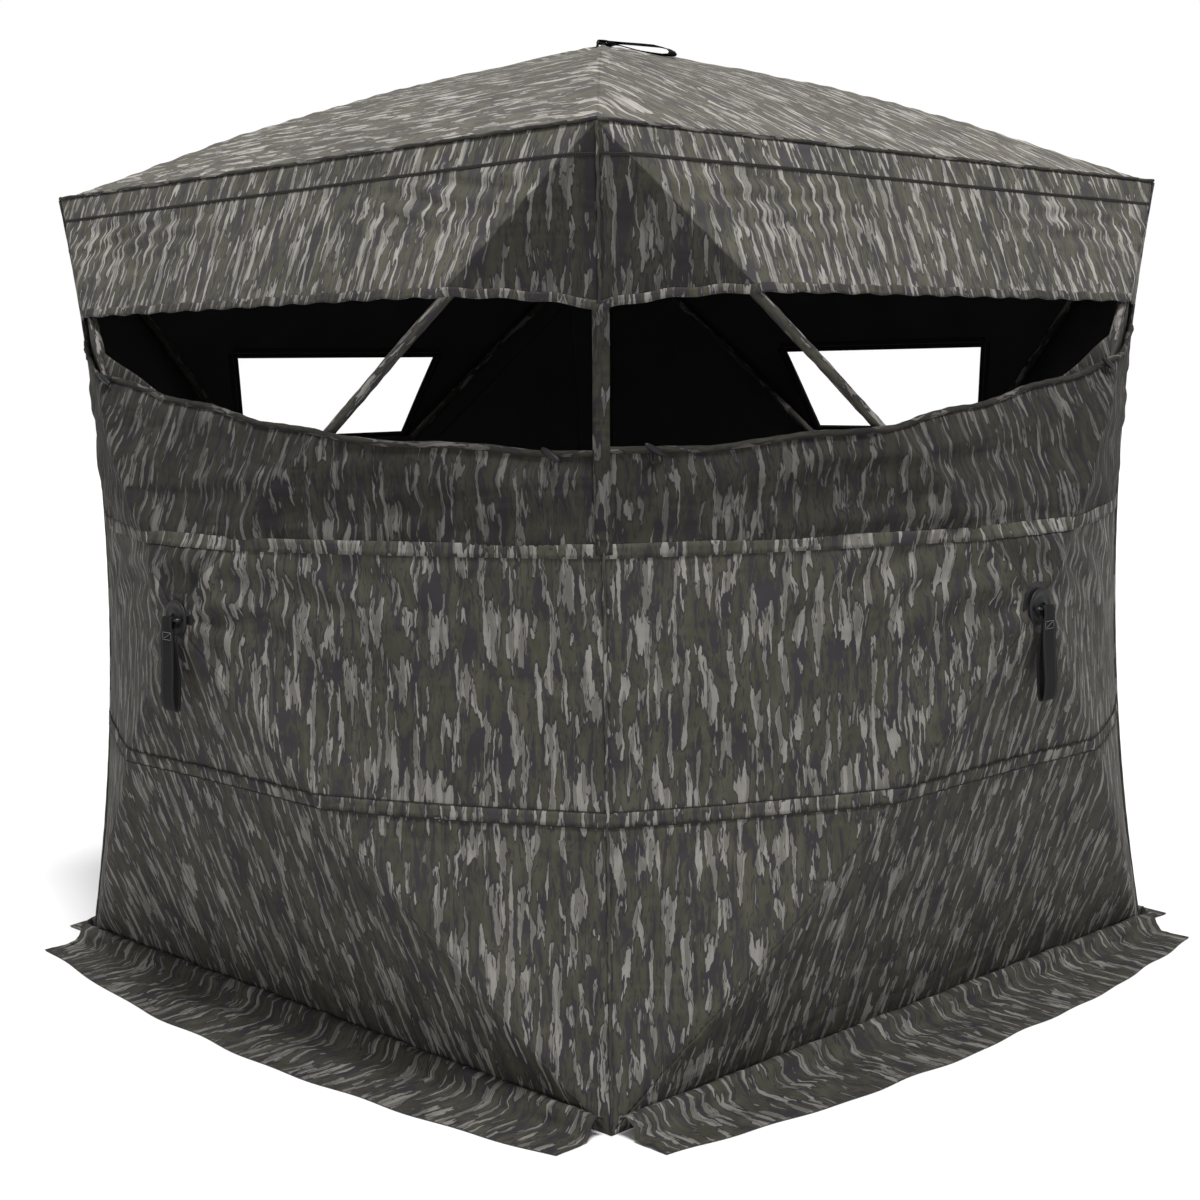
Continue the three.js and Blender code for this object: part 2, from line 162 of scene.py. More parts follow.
def new_mesh(name, verts, faces, uvs=None, mats=(), smooth=True):
    me = bpy.data.meshes.new(name)
    me.from_pydata([tuple(v) for v in verts], [], [tuple(int(i) for i in f) for f in faces])
    if uvs is not None:
        layer = me.uv_layers.new(name="UVMap")
        idx = np.empty(len(me.loops), np.int32)
        me.loops.foreach_get("vertex_index", idx)
        layer.data.foreach_set("uv", np.asarray(uvs, np.float32)[idx].ravel())
    me.polygons.foreach_set("use_smooth", [smooth] * len(me.polygons))
    me.update()
    ob = bpy.data.objects.new(name, me)
    coll.objects.link(ob)
    for m in mats:
        me.materials.append(m)
    return ob


def grid_mesh(name, points, uv, mats, flip=False):
    """points is rows x columns x 3."""
    r, c = points.shape[:2]
    idx = np.arange(r * c).reshape(r, c)
    f = np.stack([idx[:-1, :-1], idx[:-1, 1:], idx[1:, 1:], idx[1:, :-1]], -1).reshape(-1, 4)
    if flip:
        f = f[:, ::-1]
    return new_mesh(name, points.reshape(-1, 3), f, uv.reshape(-1, 2), mats)


def thicken(ob, t, inner=True, offset=-1):
    m = ob.modifiers.new("thick", "SOLIDIFY")
    m.thickness = t
    m.offset = offset
    if inner and len(ob.data.materials) > 1:
        m.material_offset = 1
        m.material_offset_rim = 0
    return ob


def tube(name, path, radius, mats, sides=10, uv_scale=1.0, ripple=None):
    path = np.asarray(path, float)
    n = len(path)
    tang = np.gradient(path, axis=0)
    tang /= np.linalg.norm(tang, axis=1)[:, None]
    ref = np.array([0.31, 0.17, 0.93])
    rows, uv = [], []
    run = np.concatenate([[0], np.cumsum(np.linalg.norm(np.diff(path, axis=0), axis=1))])
    for i in range(n):
        e1 = np.cross(tang[i], ref)
        e1 /= np.linalg.norm(e1)
        e2 = np.cross(tang[i], e1)
        th = np.linspace(0, 2 * np.pi, sides, endpoint=False)
        rad = np.full(sides, float(radius if np.isscalar(radius) else radius[i]))
        if ripple is not None:
            rad = rad * ripple(run[i], th)
        rows.append(path[i] + (np.cos(th)[:, None] * e1 + np.sin(th)[:, None] * e2) * rad[:, None])
        uv.append(np.stack([th / (2 * np.pi) * 2 * np.pi * rad, np.full(sides, run[i])], -1) * uv_scale)
    verts = np.concatenate(rows)
    uvs = np.concatenate(uv)
    faces = []
    for i in range(n - 1):
        for j in range(sides):
            k = (j + 1) % sides
            faces.append((i * sides + j, i * sides + k, (i + 1) * sides + k, (i + 1) * sides + j))
    faces.append(tuple(range(sides - 1, -1, -1)))
    faces.append(tuple((n - 1) * sides + j for j in range(sides)))
    ob = new_mesh(name, verts, faces, uvs, mats)
    return ob


def region(p, low, high, lift=0.0, extra=None, a0=-EDGE, a1=EDGE, step=STEP, name="", mats=()):
    """A piece of panel p between the curves low(u) and high(u), in square coordinates b."""
    cols = max(3, int(round((a1 - a0) * HALF / step)) + 1)
    a = np.linspace(a0, a1, cols)
    lo, hi = low(a), high(a)
    rows = max(3, int(round(np.max(hi - lo) * p["hw"] / step)) + 1)
    r = np.linspace(0, 1, rows)[:, None]
    b = lo[None, :] * (1 - r) + hi[None, :] * r
    aa = np.broadcast_to(a, b.shape)
    ex = extra(aa, b, r) if extra else None
    pts = cloth(p, aa, b, lift, ex)
    uv = np.stack([aa * HALF + p["seed"], b * p["hw"] + p["seed"] * 3], -1)
    return grid_mesh(name, pts, uv, mats, flip=True)


def const(v):
    return lambda a: np.full_like(a, v)


def zb(z):
    return (z - HZ) / HZ


def plane_cut(ob, point, normal):
    bm = bmesh.new()
    bm.from_mesh(ob.data)
    bmesh.ops.bisect_plane(bm, geom=bm.verts[:] + bm.edges[:] + bm.faces[:], dist=1e-5,
                           plane_co=Vector(point), plane_no=Vector(normal))
    bm.to_mesh(ob.data)
    bm.free()


def local_uw(p, co):
    d = co - p["o"]
    return d @ p["u"] / HALF, d @ p["w"] / p["hw"]


def drop_faces(ob, keep_test):
    bm = bmesh.new()
    bm.from_mesh(ob.data)
    bad = [f for f in bm.faces if not keep_test(np.array(f.calc_center_median()))]
    bmesh.ops.delete(bm, geom=bad, context="FACES")
    bm.to_mesh(ob.data)
    bm.free()


WINDOW = [(-REAR_NARROW, REAR_BOTTOM), (REAR_NARROW, REAR_BOTTOM),
          (REAR_WIDE, REAR_TOP), (-REAR_WIDE, REAR_TOP)]
DOOR = [(0.170, HZ - 0.0977), (0.640, HZ - 0.5615), (0.640, HZ + 0.5615), (0.170, HZ + 0.0977)]


def cut_along(p, ob, outline):
    for i, (u0, z0) in enumerate(outline):
        u1, z1 = outline[(i + 1) % len(outline)]
        d = (u1 - u0) * p["u"] + np.array([0, 0, z1 - z0])
        n = np.cross(d, p["n"])
        plane_cut(ob, u0 * p["u"] + np.array([0, 0, z0]), n / np.linalg.norm(n))


def inside(p, c, outline):
    u, z = c @ p["u"], c[2]
    sides = []
    for i, (u0, z0) in enumerate(outline):
        u1, z1 = outline[(i + 1) % len(outline)]
        sides.append((u1 - u0) * (z - z0) - (z1 - z0) * (u - u0))
    return min(sides) > 0


FACETS = {"upper": (0, 1), "lower": (0, -1), "sideA": (-1, 0), "sideB": (1, 0)}


def facet_of(p, co):
    a, b = local_uw(p, co)
    if abs(b) >= abs(a):
        return "upper" if b > 0 else "lower"
    return "sideB" if a > 0 else "sideA"


def split_facets(p, ob):
    """Cuts a piece along the panel's two rod lines, one piece for each facet it reaches."""
    for sgn in (-1, 1):
        normal = p["u"] / HALF + sgn * p["w"] / p["hw"]
        plane_cut(ob, p["o"], normal / np.linalg.norm(normal))
    made = {}
    me = ob.data
    centres = [facet_of(p, np.array(f.center)) for f in me.polygons]
    for facet in FACETS:
        if facet not in centres:
            continue
        copy = ob.copy()
        copy.data = me.copy()
        copy.name = f"{ob.name}_{facet}"
        coll.objects.link(copy)
        bm = bmesh.new()
        bm.from_mesh(copy.data)
        bm.faces.ensure_lookup_table()
        bad = [f for f in bm.faces if centres[f.index] != facet]
        bmesh.ops.delete(bm, geom=bad, context="FACES")
        loose = [v for v in bm.verts if not v.link_faces]
        bmesh.ops.delete(bm, geom=loose, context="VERTS")
        bm.to_mesh(copy.data)
        bm.free()
        made[facet] = copy
    bpy.data.objects.remove(ob)
    return made


def facet_blend(facet, ob):
    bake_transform(ob)


def rod_dir(p, i):
    sa, sb = [(1, 1), (-1, 1), (-1, -1), (1, -1)][i]
    d = sa * HALF * p["u"] + sb * p["hw"] * p["w"]
    return d / np.linalg.norm(d), sa, sb


def rod_blend(p, i, ob):
    d, sa, sb = rod_dir(p, i)
    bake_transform(ob)


def mesh_area(ob):
    return float(sum(f.area for f in ob.data.polygons))


def measured_sheet(ob, p):
    """The cut's bounding width and height on the flat panel, and its own area."""
    co = np.array([v.co for v in ob.data.vertices])
    u = (co - p["o"]) @ p["u"]
    run = math.hypot(p["pop"], HALF) / HALF
    w = (co - p["o"]) @ p["w"]
    width, height = float(np.ptp(u)), float(np.ptp(w)) * run
    area = mesh_area(ob)
    share = area / (width * height)
    if share > 0.999:
        height *= share
        area = None
    elif share < 0.31:
        height *= share / 0.32
        area = 0.32 * width * height


# ---- materials ----
def node_mat(name):
    m = bpy.data.materials.new(name)
    m.use_nodes = True
    nt = m.node_tree
    nt.nodes.clear()
    out = nt.nodes.new("ShaderNodeOutputMaterial")
    bs = nt.nodes.new("ShaderNodeBsdfPrincipled")
    nt.links.new(bs.outputs[0], out.inputs[0])
    return m, nt, bs


def N(nt, kind, **vals):
    n = nt.nodes.new(kind)
    for k, v in vals.items():
        if k in n.inputs:
            n.inputs[k].default_value = v
        else:
            setattr(n, k, v)
    return n


def ramp(nt, src, stops, interp="LINEAR"):
    r = nt.nodes.new("ShaderNodeValToRGB")
    r.color_ramp.interpolation = interp
    while len(r.color_ramp.elements) > 1:
        r.color_ramp.elements.remove(r.color_ramp.elements[-1])
    for i, (pos, col) in enumerate(stops):
        e = r.color_ramp.elements[0] if i == 0 else r.color_ramp.elements.new(pos)
        e.position = pos
        e.color = (*col, 1) if len(col) == 3 else col
    nt.links.new(src, r.inputs[0])
    return r.outputs[0]


def lin(r, g, b):
    f = lambda c: (c / 255 / 12.92) if c / 255 <= 0.04045 else ((c / 255 + 0.055) / 1.055) ** 2.4
    return (f(r), f(g), f(b))


def mix(nt, fac, a, b, mode="MIX"):
    m = nt.nodes.new("ShaderNodeMix")
    m.data_type = "RGBA"
    m.blend_type = mode
    for sock, v in ((0, fac), (6, a), (7, b)):
        if hasattr(v, "is_linked") or hasattr(v, "links"):
            nt.links.new(v, m.inputs[sock])
        elif sock == 0:
            m.inputs[0].default_value = v
        else:
            m.inputs[sock].default_value = (*v, 1)
    return m.outputs[2]


def stretch_coords(nt, sx, sy):
    uv = nt.nodes.new("ShaderNodeUVMap")
    mp = N(nt, "ShaderNodeMapping")
    mp.inputs["Scale"].default_value = (sx, sy, 1)
    nt.links.new(uv.outputs[0], mp.inputs[0])
    return mp.outputs[0]


def noise_at(nt, coords, scale, detail, rough=0.55, distortion=0.0, out=0):
    n = N(nt, "ShaderNodeTexNoise", Scale=scale, Detail=detail, Roughness=rough, Distortion=distortion)
    nt.links.new(coords, n.inputs["Vector"])
    return n.outputs[out]


def camo(name, gain=1.0, soft=False, weave=0.12, rough=0.85, folds=0.5, glare_wash=0.14):
    """A bark-like print: narrow ragged streaks of taupe and dark lines over olive, all along the grain."""
    m, nt, bs = node_mat(name)
    flat = stretch_coords(nt, 1.0, 1.0)

    def warped(sy, amount):
        base = stretch_coords(nt, 1.0, sy)
        w = noise_at(nt, flat, 38.0, 3.0, 0.6, out=1)
        v = N(nt, "ShaderNodeVectorMath", operation="MULTIPLY_ADD")
        v.inputs[1].default_value = (amount, amount * sy * 2.0, 0)
        nt.links.new(w, v.inputs[0])
        nt.links.new(base, v.inputs[2])
        return v.outputs[0]
    streak = noise_at(nt, warped(0.17, 0.008), 70.0, 2.4, 0.55, 0.3)
    blot = noise_at(nt, warped(0.30, 0.010), 36.0, 3.0, 0.6, 0.4)
    lines = noise_at(nt, warped(0.12, 0.007), 100.0, 2.0, 0.5, 0.2)
    tint = noise_at(nt, flat, 5.0, 3.0)
    e = 0.010 if soft else 0.004
    olive = ramp(nt, blot, [(0.34, lin(52, 51, 42)), (0.50, lin(66, 65, 53)), (0.66, lin(80, 78, 66))])
    dark = ramp(nt, tint, [(0.3, lin(40, 37, 44)), (0.7, lin(50, 46, 53))])
    pale = ramp(nt, lines, [(0.40, lin(112, 109, 105)), (0.50, lin(134, 131, 127)),
                            (0.64, lin(152, 149, 145))])
    in_dark = ramp(nt, blot, [(0.420 - e, (1, 1, 1)), (0.420 + e, (0, 0, 0))])
    edge_lo = ramp(nt, streak, [(0.512 - e, (0, 0, 0)), (0.512 + e, (1, 1, 1))])
    is_pale = ramp(nt, streak, [(0.548 - e, (0, 0, 0)), (0.548 + e, (1, 1, 1))])
    in_line = ramp(nt, lines, [(0.400 - e, (1, 1, 1)), (0.400 + e, (0, 0, 0))])
    col = mix(nt, in_dark, olive, dark)
    col = mix(nt, in_line, col, dark)
    col = mix(nt, edge_lo, col, dark)
    col = mix(nt, is_pale, col, pale)
    vein = ramp(nt, lines, [(0.476 - e, (0, 0, 0)), (0.482, (0.85, 0.85, 0.85)),
                            (0.500, (0.85, 0.85, 0.85)), (0.506 + e, (0, 0, 0))])
    col = mix(nt, vein, col, dark)
    tone = ramp(nt, tint, [(0.35, (0.86, 0.86, 0.84)), (0.65, (1.12, 1.11, 1.09))])
    col = mix(nt, 1.0, col, tone, "MULTIPLY")
    # The print is mixed toward a mid grey: painted glare that washes the print out, strongest on the roof.
    col = mix(nt, glare_wash, col, lin(94, 91, 86))
    # The whole print is scaled by the gain; several copies of the cloth below use it for painted light and
    # painted shade.
    col = mix(nt, 1.0, col, (gain, gain, gain), "MULTIPLY")
    nt.links.new(col, bs.inputs["Base Color"])
    bs.inputs["Roughness"].default_value = rough
    bs.inputs["Specular IOR Level"].default_value = 0.22
    w1 = N(nt, "ShaderNodeTexWave", Scale=260.0, bands_direction="X")
    w2 = N(nt, "ShaderNodeTexWave", Scale=260.0, bands_direction="Y")
    nt.links.new(flat, w1.inputs["Vector"])
    nt.links.new(flat, w2.inputs["Vector"])
    ws = N(nt, "ShaderNodeMath", operation="MULTIPLY")
    nt.links.new(w1.outputs["Fac"], ws.inputs[0])
    nt.links.new(w2.outputs["Fac"], ws.inputs[1])
    crinkle = noise_at(nt, flat, 24.0, 4.0)
    drape = noise_at(nt, stretch_coords(nt, 0.28, 1.0), 13.0, 2.5, 0.5, 0.6)
    b1 = N(nt, "ShaderNodeBump", Strength=weave, Distance=0.0004)
    nt.links.new(ws.outputs[0], b1.inputs["Height"])
    b2 = N(nt, "ShaderNodeBump", Strength=0.35, Distance=0.003)
    nt.links.new(crinkle, b2.inputs["Height"])
    nt.links.new(b1.outputs[0], b2.inputs["Normal"])
    b3 = N(nt, "ShaderNodeBump", Strength=folds, Distance=0.02)
    nt.links.new(drape, b3.inputs["Height"])
    nt.links.new(b2.outputs[0], b3.inputs["Normal"])
    nt.links.new(b3.outputs[0], bs.inputs["Normal"])
    return m


def black_cloth(name, col=(0.012, 0.012, 0.013), rough=0.75, scale=300.0):
    m, nt, bs = node_mat(name)
    uv = stretch_coords(nt, 1.0, 1.0)
    n = N(nt, "ShaderNodeTexNoise", Scale=8.0, Detail=4.0)
    nt.links.new(uv, n.inputs["Vector"])
    c = ramp(nt, n.outputs[0], [(0.3, tuple(x * 0.75 for x in col)), (0.7, tuple(x * 1.4 for x in col))])
    nt.links.new(c, bs.inputs["Base Color"])
    bs.inputs["Roughness"].default_value = rough
    w = N(nt, "ShaderNodeTexWave", Scale=scale, bands_direction="DIAGONAL")
    nt.links.new(uv, w.inputs["Vector"])
    b = N(nt, "ShaderNodeBump", Strength=0.4, Distance=0.0005)
    nt.links.new(w.outputs["Fac"], b.inputs["Height"])
    nt.links.new(b.outputs[0], bs.inputs["Normal"])
    return m


def stitched(name, base, thread, rows=(0.25, 0.75), pitch=0.0042):
    """Tape whose UV runs across (0 to 1) and along (metres), with rows of stitches."""
    m, nt, bs = node_mat(name)
    uv = nt.nodes.new("ShaderNodeUVMap")
    sep = nt.nodes.new("ShaderNodeSeparateXYZ")
    nt.links.new(uv.outputs[0], sep.inputs[0])
    total = None
    for r in rows:
        d = N(nt, "ShaderNodeMath", operation="SUBTRACT")
        nt.links.new(sep.outputs[0], d.inputs[0])
        d.inputs[1].default_value = r
        ab = N(nt, "ShaderNodeMath", operation="ABSOLUTE")
        nt.links.new(d.outputs[0], ab.inputs[0])
        lt = N(nt, "ShaderNodeMath", operation="LESS_THAN")
        lt.inputs[1].default_value = 0.035
        nt.links.new(ab.outputs[0], lt.inputs[0])
        if total is None:
            total = lt.outputs[0]
        else:
            s = N(nt, "ShaderNodeMath", operation="MAXIMUM")
            nt.links.new(total, s.inputs[0])
            nt.links.new(lt.outputs[0], s.inputs[1])
            total = s.outputs[0]
    md = N(nt, "ShaderNodeMath", operation="PINGPONG")
    md.inputs[1].default_value = pitch / 2
    nt.links.new(sep.outputs[1], md.inputs[0])
    on = N(nt, "ShaderNodeMath", operation="GREATER_THAN")
    on.inputs[1].default_value = pitch * 0.16
    nt.links.new(md.outputs[0], on.inputs[0])
    st = N(nt, "ShaderNodeMath", operation="MULTIPLY")
    nt.links.new(total, st.inputs[0])
    nt.links.new(on.outputs[0], st.inputs[1])
    n = N(nt, "ShaderNodeTexNoise", Scale=30.0, Detail=3.0)
    c = ramp(nt, n.outputs[0], [(0.35, tuple(x * 0.8 for x in base)), (0.65, tuple(x * 1.25 for x in base))])
    col = mix(nt, st.outputs[0], c, thread)
    nt.links.new(col, bs.inputs["Base Color"])
    bs.inputs["Roughness"].default_value = 0.8
    rib = N(nt, "ShaderNodeMath", operation="SINE")
    sc = N(nt, "ShaderNodeMath", operation="MULTIPLY")
    sc.inputs[1].default_value = 2 * math.pi / 0.0016
    nt.links.new(sep.outputs[1], sc.inputs[0])
    nt.links.new(sc.outputs[0], rib.inputs[0])
    hsum = N(nt, "ShaderNodeMath", operation="MULTIPLY_ADD")
    hsum.inputs[1].default_value = 0.25
    nt.links.new(rib.outputs[0], hsum.inputs[0])
    nt.links.new(st.outputs[0], hsum.inputs[2])
    b = N(nt, "ShaderNodeBump", Strength=0.6, Distance=0.0006)
    nt.links.new(hsum.outputs[0], b.inputs["Height"])
    nt.links.new(b.outputs[0], bs.inputs["Normal"])
    bs.inputs["Specular IOR Level"].default_value = 0.15
    return m


def hard(name, col, rough, metal=0.0, bump=0.15, scale=400.0):
    m, nt, bs = node_mat(name)
    n = N(nt, "ShaderNodeTexNoise", Scale=scale, Detail=3.0)
    tc = nt.nodes.new("ShaderNodeTexCoord")
    nt.links.new(tc.outputs["Object"], n.inputs["Vector"])
    r = ramp(nt, n.outputs[0], [(0.3, (rough * 0.8,) * 3), (0.7, (min(1, rough * 1.2),) * 3)])
    nt.links.new(r, bs.inputs["Roughness"])
    wear = N(nt, "ShaderNodeTexNoise", Scale=60.0, Detail=6.0)
    nt.links.new(tc.outputs["Object"], wear.inputs["Vector"])
    c = ramp(nt, wear.outputs[0], [(0.35, tuple(x * 0.8 for x in col)), (0.75, tuple(x * 1.5 for x in col))])
    nt.links.new(c, bs.inputs["Base Color"])
    bs.inputs["Metallic"].default_value = metal
    bs.inputs["Specular IOR Level"].default_value = 0.25
    b = N(nt, "ShaderNodeBump", Strength=bump, Distance=0.0003)
    nt.links.new(n.outputs[0], b.inputs["Height"])
    nt.links.new(b.outputs[0], bs.inputs["Normal"])
    return m


M_WALL = camo("camo_wall", 0.58)
# Lighter copy of the print for the valance and the rear walls' upper facets: painted light on facets that face
# up.
M_PAINTED_LIGHT_CAMO = camo("camo_valance", 0.95, glare_wash=0.2)
# Darker copy of the print: painted shade on the corner-side valance facets and the wall facets over the near
# hubs.
M_SHADE = camo("camo_painted_shade", 0.34)
# Roof copy of the print, brighter and washed toward grey: painted light and painted glare on the top.
M_ROOF = camo("camo_roof", 1.30, folds=0.25, glare_wash=0.36)
# Skirt copy of the print, darker than the walls: painted shade at the foot of the walls.
M_SKIRT = camo("camo_skirt", 0.49)
M_SCREEN = camo("camo_screen", 0.33, soft=True, weave=0.5, rough=0.95, folds=1.0)
M_VEIL = camo("camo_inner_screen", 0.36, soft=True, weave=0.5, rough=0.95, folds=0.8)
M_SLEEVE = camo("camo_sleeve", 0.62)
M_CAMO_TAPE = camo("camo_tape", 0.64)
M_BLACK = black_cloth("black_lining")
M_TAPE = stitched("seam_tape", lin(28, 27, 26), lin(70, 67, 62), rows=(0.18, 0.82))
M_WEB = stitched("black_webbing", (0.006, 0.006, 0.0065), (0.02, 0.02, 0.02), rows=(0.12, 0.88))
M_PLASTIC = hard("hub_moulding", (0.009, 0.009, 0.0095), 0.5)
M_STEEL = hard("black_steel", (0.035, 0.035, 0.037), 0.38, 0.9, 0.08)
M_ROD = hard("glass_fibre", (0.05, 0.048, 0.042), 0.35, 0.0, 0.1)
M_PIPE = camo("camo_piping", 0.62)
M_ZIP = stitched("zip_tape", (0.014, 0.014, 0.014), (0.09, 0.09, 0.085), rows=(0.5,), pitch=0.003)

# ---- the cabin's cloth ----
extras = {}


def add_wall_part(p, key, low, high, mats, node, extra=None, thick=0.0011,
                  cutter=None, painted_shading=None):
    """One sewn part of a panel, one piece per facet; single facets can get a lighter or darker copy of the
    print, painted light and painted shade.
    """
    ob = region(p, low, high, extra=extra, name=key, mats=mats)
    if cutter:
        cutter(ob)
    parts = split_facets(p, ob)
    first = True
    for facet, piece in parts.items():
        # Single facets swap to a lighter or darker copy of the print: painted light and painted shade.
        if painted_shading and facet in painted_shading:
            piece.data.materials[0] = painted_shading[facet]
        thicken(piece, thick)
        if first:
            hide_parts(node)
            first = False
        facet_blend(facet, piece)
        extras[(p["name"], key, facet)] = piece
        measured_sheet(piece, p)
    return parts


def add_strip(p, key, low, high, mat, lift=0.0009, thick=0.0007, a0=-EDGE, a1=EDGE, step=0.006,
              metric=False):
    """A seam tape on the cloth: UV across 0 to 1 and along in metres, or both in metres when metric."""
    cols = int((a1 - a0) * HALF / step) + 1
    a = np.linspace(a0, a1, cols)
    lo, hi = low(a), high(a)
    rows = 4
    r = np.linspace(0, 1, rows)[:, None]
    b = lo[None, :] * (1 - r) + hi[None, :] * r
    aa = np.broadcast_to(a, b.shape)
    pts = cloth(p, aa, b, lift)
    uv = np.stack([aa * HALF + 3.3, b * p["hw"]] if metric else [np.broadcast_to(r, b.shape), aa * HALF], -1)
    ob = grid_mesh(key, pts, uv, [mat], flip=True)
    for facet, piece in split_facets(p, ob).items():
        thicken(piece, thick, inner=False, offset=1)
        facet_blend(facet, piece)
        extras[(p["name"], key, facet)] = piece


def valance_edge(p):
    def f(a):
        q = np.abs(a * HALF - p["near"] * HALF)
        return zb(VALANCE - DIP * np.exp(-q / DIP_RUN) + 0.0015 * np.sin(a * 60))
    return f


def screen_edge(p):
    def f(a):
        q = np.abs(a * HALF - p["near"] * HALF)
        rise = (SCREEN_FAR - SCREEN_NEAR) * (q / 1.5) ** SCREEN_RISE
        return zb(SCREEN_NEAR + rise + 0.003 * np.sin(a * 17 + p["seed"]))
    return f


def veil_edge(p):
    """The far end of the inner mesh layer stands a little above the lowered screen."""
    def f(a):
        far = np.clip((np.abs(a * HALF - p["near"] * HALF) - 0.80) / 0.62, 0, 1)
        return screen_edge(p)(a) + (0.078 * far * far * (3 - 2 * far) - 0.012) / HZ
    return f


def slack(p):
    """The lowered screen hangs in loose folds that run along the wall."""
    def f(a, b, r):
        u = a * HALF
        z = b * HZ + HZ
        h = z - SEAM
        env = np.clip(r * (1 - r) * 5.5, 0, 1)
        run = p["near"] * u
        fold = np.sin(2 * np.pi * (h / 0.115 + 0.9 * run + 0.35 * np.sin(u * 3.1 + p["seed"])))
        fold2 = np.sin(2 * np.pi * (h / 0.052 - 1.3 * run + 0.5 * np.sin(u * 4.2 + 1 + p["seed"])))
        fold2 = fold2 * np.clip(waves(u, h, p["seed"] + 9, 8, 0.8, 3), 0, 1)
        edge = np.clip((1 - np.abs(a)) * 12, 0, 1)
        near_rod = np.exp(-((np.abs(a) - np.abs(b)) / 0.05) ** 2)
        out = (0.0034 * fold + 0.0022 * fold2) * env * edge
        return out * (1 - 0.6 * near_rod) + 0.006 * env * edge * (1 + near_rod)
    return f


for p in PANELS.values():
    nm = p["name"]
    if nm == "roof":
        add_wall_part(p, "roof_cloth", const(-EDGE), const(EDGE), [M_ROOF, M_BLACK], "roof")
        continue
    eave = zb(H) * EDGE
    foot = zb(0) * EDGE
    if p["near"]:
        # The valance takes the lighter copy of the print (painted light); its corner-side facet and the wall
        # facet over the hub take the darker copy (painted shade).
        corner = "sideA" if p["near"] < 0 else "sideB"
        add_wall_part(p, f"{nm}_valance_cloth", valance_edge(p), const(eave), [M_PAINTED_LIGHT_CAMO, M_BLACK],
                      f"{nm}_wall_valance", painted_shading={corner: M_SHADE})
        add_wall_part(p, f"{nm}_wall_cloth", const(foot), const(zb(SEAM - 0.0005)), [M_WALL, M_BLACK],
                      f"{nm}_wall", painted_shading={"upper": M_SHADE})
        add_wall_part(p, f"{nm}_screen_cloth", const(zb(SEAM)), screen_edge(p), [M_SCREEN, M_BLACK],
                      f"{nm}_window_screen", extra=slack(p), thick=0.0008)
        ve, se = valance_edge(p), screen_edge(p)
        veil = region(p, lambda a, f=se: f(a) - 0.03 / HZ, veil_edge(p), lift=-0.010,
                      name=f"{nm}_inner_screen_cloth", mats=[M_VEIL, M_BLACK])
        for facet, piece in split_facets(p, veil).items():
            thicken(piece, 0.0008)
            facet_blend(facet, piece)
            extras[(nm, "inner_screen", facet)] = piece
            measured_sheet(piece, p)
        add_strip(p, f"{nm}_valance_hem", ve, lambda a, f=ve: f(a) + 0.014 / HZ, M_CAMO_TAPE,
                  lift=0.0006, metric=True)
        add_strip(p, f"{nm}_screen_seam", const(zb(SEAM - 0.011)), const(zb(SEAM + 0.011)), M_CAMO_TAPE,
                  lift=0.0016, metric=True)
    else:
        def window_cut(ob, p=p):
            cut_along(p, ob, WINDOW)
            drop_faces(ob, lambda c: not inside(p, c, WINDOW))
            if p["name"] == "back":
                cut_along(p, ob, DOOR)
                door = ob.copy()
                door.data = ob.data.copy()
                door.name = "door_cloth"
                coll.objects.link(door)
                drop_faces(door, lambda c: inside(p, c, DOOR))
                drop_faces(ob, lambda c: not inside(p, c, DOOR))
                thicken(door, 0.0011)
                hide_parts("door")
                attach(door, "door")
                measured_sheet(door, p)
        # The rear walls' upper facet takes the lighter copy of the print: painted light.
        add_wall_part(p, f"{nm}_wall_cloth", const(foot), const(eave), [M_WALL, M_BLACK],
                      f"{nm}_wall", cutter=window_cut, painted_shading={"upper": M_PAINTED_LIGHT_CAMO})
    add_strip(p, f"{nm}_mid_tape", const(zb(TAPE_Z - 0.011)), const(zb(TAPE_Z + 0.011)), M_CAMO_TAPE,
              lift=0.0016, metric=True)
    for k, off in enumerate((-0.0125, 0.0115)):
        add_strip(p, f"{nm}_mid_tape_edge_{k + 1}", const(zb(TAPE_Z + off)),
                  const(zb(TAPE_Z + off + 0.0014)), M_TAPE, lift=0.0022)
    add_strip(p, f"{nm}_eave_seam", const(zb(H - 0.0485)), const(zb(H - 0.0435)), M_TAPE,
              lift=0.0006)

# ---- rods in their sleeves ----
for p in PANELS.values():
    for i in range(4):
        d, sa, sb = rod_dir(p, i)
        length = math.hypot(HALF, p["hw"])
        r = np.linspace(0.062, length - 0.018, 60)
        reach = smooth_max(r / length, r / length)
        n = p["base"] + pop_out(p, np.minimum(reach, 1)) - 0.0150
        path = p["o"] + r[:, None] * d + n[:, None] * p["n"]
        rad = np.full(60, 0.0088)
        rad[:2] *= (0.7, 0.92)
        rad[-3:] *= (0.95, 0.85, 0.6)
        sl = tube(f"{p['name']}_rod_sleeve_{i + 1}", path, rad, [M_SLEEVE], 12,
                  ripple=lambda s, th, k=i: (1 + 0.05 * np.sin(s * 210 + 2 * np.sin(th * 2 + k))
                                             + 0.05 * np.sin(th * 3 + s * 40)))
        rr = np.linspace(0.024, 0.075, 6)
        n0 = p["base"] + p["pop"] - PIN_IN
        n1 = p["base"] + pop_out(p, smooth_max(0.075 / length, 0.075 / length)) - 0.0150
        nn = n0 + (n1 - n0) * ((rr - rr[0]) / (rr[-1] - rr[0])) ** 1.4
        tip = tube(f"{p['name']}_rod_end_{i + 1}", p["o"] + rr[:, None] * d + nn[:, None] * p["n"], 0.0046,
                   [M_ROD], 14)
        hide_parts(f"{p['name']}_rod_{i + 1}")
        for ob in (sl, tip):
            rod_blend(p, i, ob)

